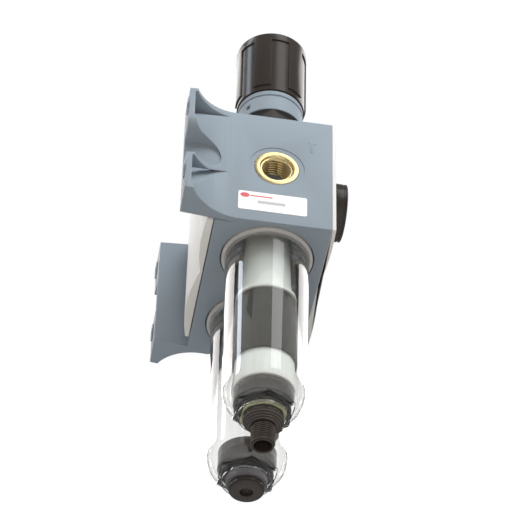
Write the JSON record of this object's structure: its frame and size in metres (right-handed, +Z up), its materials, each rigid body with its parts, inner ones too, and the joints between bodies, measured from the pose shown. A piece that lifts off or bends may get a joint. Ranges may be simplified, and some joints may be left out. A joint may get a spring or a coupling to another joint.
{
  "type": "filter regulator lubricator",
  "caption": "Compact air preparation unit: a filter regulator with a push-lock knob and a gauge beside an oil-mist lubricator, with clear bowls and wall-mount end brackets.",
  "frame": {"origin": "centre of the rectangle of four wall screw holes, on the wall plane that the pads behind the ears rest on", "axes": "+Z up, towards the adjusting knob; +Y towards the wall; +X along the air flow, from the inlet port to the outlet port"},
  "size_m": [0.11, 0.0715, 0.2216],
  "materials": {
    "body_plastic": "moulded satin",
    "cover_plastic": "moulded satin",
    "black_plastic": "moulded satin",
    "clear_plastic": "clear moulded polycarbonate",
    "pale_plastic": "moulded satin",
    "brass": "turned",
    "olive_brass": "dull turned",
    "steel": "machined",
    "spring_steel": "drawn wire",
    "rubber": "moulded",
    "filter_media": "sintered",
    "label": "blank satin film",
    "dial": "printed",
    "aluminium": "machined"
  },
  "bodies": {
    "housing": {"regulator_body": "body_plastic", "lubricator_body": "body_plastic", "end_bracket_inlet": "body_plastic", "end_bracket_outlet": "body_plastic", "front_cover": "cover_plastic", "rear_cover": "cover_plastic", "inlet_insert": "brass", "outlet_insert": "brass", "bracket_screws": "steel", "blank_label": "label", "module_seal": "rubber", "gauge_case": "black_plastic", "gauge_bezel": "black_plastic", "gauge_lens": "clear_plastic", "gauge_dial": "dial", "gauge_socket": "brass", "bourdon_tube": "brass", "bonnet": "body_plastic", "main_spring": "spring_steel", "valve_spring": "spring_steel", "valve_guide": "pale_plastic", "deflector": "pale_plastic", "filter_element": "filter_media", "baffle": "pale_plastic", "element_stud": "pale_plastic", "siphon_tube": "pale_plastic", "siphon_filter": "filter_media", "check_seat": "brass", "venturi": "aluminium", "drip_tube": "brass", "sight_dome": "clear_plastic", "sight_dome_seal": "rubber", "fill_plug_seal": "rubber"},
    "knob_slider": {"lock_sleeve": "black_plastic"},
    "knob": {"adjusting_knob": "black_plastic"},
    "adjusting_screw": {"adjusting_screw": "steel"},
    "spring_seat": {"spring_seat": "steel"},
    "valve_train": {"regulating_piston": "pale_plastic", "piston_seal": "rubber", "valve_poppet": "brass", "valve_disc": "rubber"},
    "gauge_needle": {"gauge_pointer": "black_plastic"},
    "filter_bowl": {"filter_bowl": "clear_plastic", "filter_bowl_seal": "rubber", "drain_gasket": "rubber", "drain_body": "black_plastic", "drain_nut": "olive_brass"},
    "drain_cock": {"drain_stem": "black_plastic", "drain_ring": "black_plastic", "drain_lever": "black_plastic"},
    "lubricator_bowl": {"lubricator_bowl": "clear_plastic", "lubricator_bowl_seal": "rubber", "plug_seat": "black_plastic", "plug_washer": "steel"},
    "drain_plug": {"drain_plug": "black_plastic"},
    "check_ball": {"check_ball": "steel"},
    "feed_needle": {"feed_needle": "brass"},
    "fill_plug": {"fill_plug": "black_plastic"}
  },
  "joints": [
    {"name": "knob_lift", "type": "slide", "parent": "housing", "child": "knob_slider", "axis": [0, 0, 1], "range_m": [0, 0.003]},
    {"name": "knob_turn", "type": "hinge", "parent": "knob_slider", "child": "knob", "pos_m": [-0.0208, -0.0395, 0.0706], "axis": [0, 0, 1], "range_deg": [-1440, 0]},
    {"name": "screw_turn", "type": "hinge", "parent": "housing", "child": "adjusting_screw", "pos_m": [-0.0208, -0.0395, 0.0656], "axis": [0, 0, 1], "range_deg": [-1445, 0]},
    {"name": "seat_travel", "type": "slide", "parent": "housing", "child": "spring_seat", "axis": [0, 0, 1], "range_m": [-0.0041, 0], "deforming": ["main_spring"]},
    {"name": "valve_travel", "type": "slide", "parent": "housing", "child": "valve_train", "axis": [0, 0, -1], "range_m": [0, 0.0012], "stiffness_N_per_m": 300, "springref_m": -0.002, "deforming": ["valve_spring"]},
    {"name": "needle_turn", "type": "hinge", "parent": "housing", "child": "gauge_needle", "pos_m": [-0.0208, -0.0395, -0.0027], "axis": [0, 1, 0], "range_deg": [0, 270], "stiffness_Nm_per_rad": 0.0001, "springref_deg": -17.19},
    {"name": "filter_bowl_turn", "type": "hinge", "parent": "housing", "child": "filter_bowl", "pos_m": [-0.0208, -0.0395, -0.0344], "axis": [0, 0, 1], "range_deg": [0, 45]},
    {"name": "drain_turn", "type": "hinge", "parent": "filter_bowl", "child": "drain_cock", "pos_m": [-0.0208, -0.0395, -0.1294], "axis": [0, 0, 1], "range_deg": [0, 90]},
    {"name": "lubricator_bowl_turn", "type": "hinge", "parent": "housing", "child": "lubricator_bowl", "pos_m": [0.0208, -0.0395, -0.0344], "axis": [0, 0, 1], "range_deg": [0, 45]},
    {"name": "drain_plug_turn", "type": "hinge", "parent": "lubricator_bowl", "child": "drain_plug", "pos_m": [0.0208, -0.0395, -0.1224], "axis": [0, 0, 1], "range_deg": [0, 360]},
    {"name": "check_ball_lift", "type": "slide", "parent": "housing", "child": "check_ball", "axis": [0, 0, 1], "range_m": [0, 0.001]},
    {"name": "feed_turn", "type": "hinge", "parent": "housing", "child": "feed_needle", "pos_m": [0.0208, -0.0395, 0.0356], "axis": [0, 0, 1], "range_deg": [0, 720]},
    {"name": "fill_plug_turn", "type": "hinge", "parent": "housing", "child": "fill_plug", "pos_m": [0.0208, -0.0559, 0.0276], "axis": [0, 0, 1], "range_deg": [0, 720]}
  ],
  "couplings": [
    {"joint": "screw_turn", "follows": "knob_turn", "ratio": 1},
    {"joint": "seat_travel", "follows": "knob_turn", "m_per_rad": 0.00015915}
  ]
}
